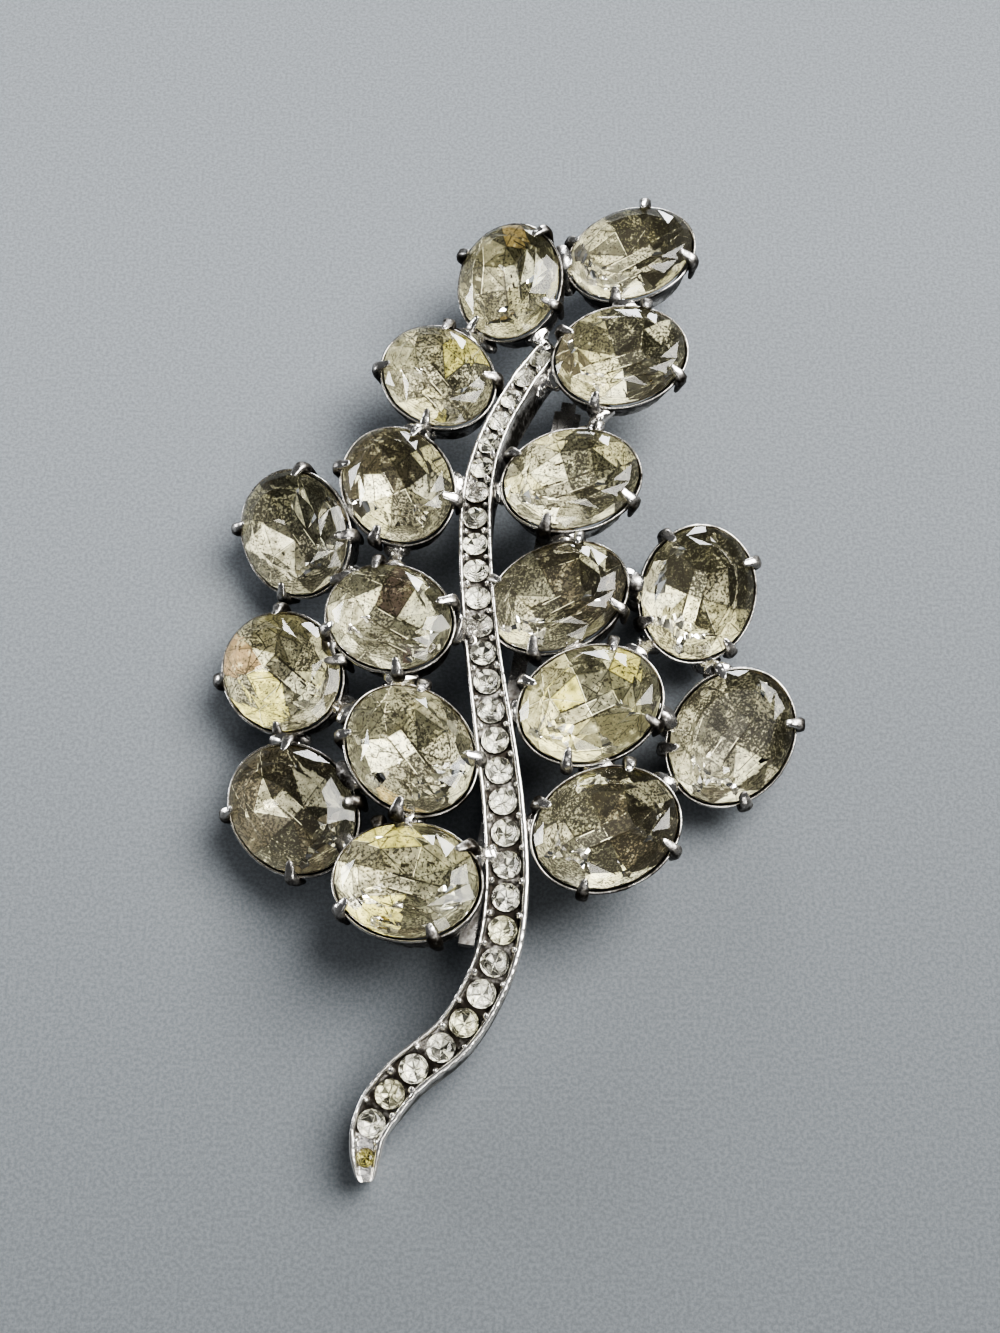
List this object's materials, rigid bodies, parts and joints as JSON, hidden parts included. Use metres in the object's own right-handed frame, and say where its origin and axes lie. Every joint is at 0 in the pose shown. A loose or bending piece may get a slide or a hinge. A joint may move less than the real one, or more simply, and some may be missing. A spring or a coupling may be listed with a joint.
{
  "type": "leaf brooch",
  "caption": "Leaf-shaped brooch: oval foiled glass stones in clawed metal cups, soldered along a curved stem set with small round stones, with a closed pin across the back.",
  "frame": {"origin": "middle of the footprint, on the surface that the brooch lies on", "axes": "+Z out of the face of the brooch, +Y towards the leaf's top, +X to the right seen from the front"},
  "size_m": [0.05, 0.0908, 0.0117],
  "materials": {
    "plated_metal": "worn silver-coloured plate over cast white metal, grainy solder, brown tarnish in the recesses",
    "oval_glass": "polished facets over worn, speckled champagne foil",
    "round_glass": "polished facets over bright foil, slightly yellowed",
    "pin_metal": "dull silver-coloured metal"
  },
  "bodies": {
    "root": {"frame": "plated_metal", "stone_01": "oval_glass", "stone_02": "oval_glass", "stone_03": "oval_glass", "stone_04": "oval_glass", "stone_05": "oval_glass", "stone_06": "oval_glass", "stone_07": "oval_glass", "stone_08": "oval_glass", "stone_09": "oval_glass", "stone_10": "oval_glass", "stone_11": "oval_glass", "stone_12": "oval_glass", "stone_13": "oval_glass", "stone_14": "oval_glass", "stone_15": "oval_glass", "stone_16": "oval_glass", "stone_17": "oval_glass", "stem_stones": "round_glass", "pin_back": "pin_metal"}
  },
  "joints": []
}
